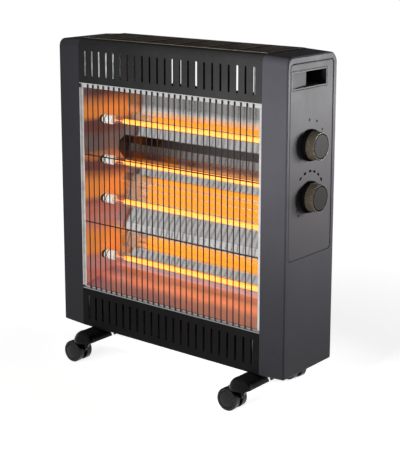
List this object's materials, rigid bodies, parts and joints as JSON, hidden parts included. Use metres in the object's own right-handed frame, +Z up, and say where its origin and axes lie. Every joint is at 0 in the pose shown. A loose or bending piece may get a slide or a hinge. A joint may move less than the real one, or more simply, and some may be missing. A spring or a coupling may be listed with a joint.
{
  "type": "halogen heater",
  "caption": "Upright halogen heater on castors: glowing quartz tubes in a polished reflector behind a wire guard, slotted panels, side handles, heat and thermostat knobs.",
  "frame": {"origin": "on the floor under the middle of the whole heater, its knobs and castors included", "axes": "+Z up, -Y towards the glowing front, +X towards the side with the two knobs"},
  "size_m": [0.5006, 0.211, 0.5705],
  "materials": {
    "charcoal_plastic": "fine moulded grain, satin",
    "panel_plastic": "satin",
    "black_steel": "satin powder coat",
    "grille_steel": "satin",
    "galvanised_steel": "galvanised",
    "bright_trim": "satin",
    "guard_wire": "satin",
    "mirror_sheet": "polished",
    "quartz": "clear",
    "glowing_coil": "glowing",
    "white_ceramic": "matt",
    "black_plastic": "satin",
    "knob_plastic": "satin",
    "plain_steel": "zinc plated",
    "terminal_plastic": "satin",
    "wire_sleeve": "braided sleeve",
    "black_screw": "black zinc",
    "castor_plastic": "satin",
    "wheel_plastic": "semi gloss"
  },
  "bodies": {
    "heater": {"base_plate": "black_steel", "left_side_plate": "galvanised_steel", "right_side_plate": "galvanised_steel", "front_top_panel": "black_steel", "front_bottom_panel": "black_steel", "rear_panel": "black_steel", "top_grille": "grille_steel", "top_trim": "bright_trim", "bottom_trim": "bright_trim", "left_trim": "bright_trim", "right_trim": "bright_trim", "guard_wires": "guard_wire", "reflector": "mirror_sheet", "reflector_left_wall": "mirror_sheet", "reflector_right_wall": "mirror_sheet", "heating_tube_1": "quartz", "heating_tube_2": "quartz", "heating_tube_3": "quartz", "heating_tube_4": "quartz", "heating_coil_1": "glowing_coil", "heating_coil_2": "glowing_coil", "heating_coil_3": "glowing_coil", "heating_coil_4": "glowing_coil", "left_ceramic_caps": "white_ceramic", "right_ceramic_caps": "white_ceramic", "left_end_cap": "charcoal_plastic", "right_end_cap": "charcoal_plastic", "control_panel": "panel_plastic", "left_handle_cup": "black_plastic", "right_handle_cup": "black_plastic", "selector_switch": "black_plastic", "thermostat": "plain_steel", "bush_nuts": "plain_steel", "thermal_cutout": "plain_steel", "tilt_switch": "black_plastic", "terminal_block": "terminal_plastic", "cable_gland": "black_plastic", "wiring_loom": "wire_sleeve", "left_foot": "black_plastic", "right_foot": "black_plastic", "cap_screws": "black_screw", "foot_screws": "black_screw", "rear_panel_screws": "black_screw"},
    "selector": {"selector_knob": "knob_plastic", "selector_shaft": "plain_steel"},
    "thermostat_control": {"thermostat_knob": "knob_plastic", "thermostat_shaft": "plain_steel"},
    "castor_fl": {"castor_horn_fl": "castor_plastic"},
    "wheels_fl": {"castor_wheels_fl": "wheel_plastic", "castor_axle_fl": "plain_steel"},
    "castor_fr": {"castor_horn_fr": "castor_plastic"},
    "wheels_fr": {"castor_wheels_fr": "wheel_plastic", "castor_axle_fr": "plain_steel"},
    "castor_rl": {"castor_horn_rl": "castor_plastic"},
    "wheels_rl": {"castor_wheels_rl": "wheel_plastic", "castor_axle_rl": "plain_steel"},
    "castor_rr": {"castor_horn_rr": "castor_plastic"},
    "wheels_rr": {"castor_wheels_rr": "wheel_plastic", "castor_axle_rr": "plain_steel"}
  },
  "joints": [
    {"name": "selector_turn", "type": "hinge", "parent": "heater", "child": "selector", "pos_m": [0.22905, -0.0045, 0.428], "axis": [1, 0, 0], "range_deg": [0, 120]},
    {"name": "thermostat_turn", "type": "hinge", "parent": "heater", "child": "thermostat_control", "pos_m": [0.22905, -0.0045, 0.3465], "axis": [1, 0, 0], "range_deg": [-120, 120]},
    {"name": "castor_fl_swivel", "type": "hinge", "parent": "heater", "child": "castor_fl", "pos_m": [-0.18255, -0.083, 0.045], "axis": [0, 0, 1], "continuous": true},
    {"name": "castor_fl_roll", "type": "hinge", "parent": "castor_fl", "child": "wheels_fl", "pos_m": [-0.20255, -0.083, 0.019], "axis": [0, 1, 0], "continuous": true},
    {"name": "castor_fr_swivel", "type": "hinge", "parent": "heater", "child": "castor_fr", "pos_m": [0.16185, -0.083, 0.045], "axis": [0, 0, 1], "continuous": true},
    {"name": "castor_fr_roll", "type": "hinge", "parent": "castor_fr", "child": "wheels_fr", "pos_m": [0.14185, -0.083, 0.019], "axis": [0, 1, 0], "continuous": true},
    {"name": "castor_rl_swivel", "type": "hinge", "parent": "heater", "child": "castor_rl", "pos_m": [-0.18255, 0.083, 0.045], "axis": [0, 0, 1], "continuous": true},
    {"name": "castor_rl_roll", "type": "hinge", "parent": "castor_rl", "child": "wheels_rl", "pos_m": [-0.20255, 0.083, 0.019], "axis": [0, 1, 0], "continuous": true},
    {"name": "castor_rr_swivel", "type": "hinge", "parent": "heater", "child": "castor_rr", "pos_m": [0.16185, 0.083, 0.045], "axis": [0, 0, 1], "continuous": true},
    {"name": "castor_rr_roll", "type": "hinge", "parent": "castor_rr", "child": "wheels_rr", "pos_m": [0.14215, 0.08647, 0.019], "axis": [0.1736, 0.9848, 0], "continuous": true}
  ]
}
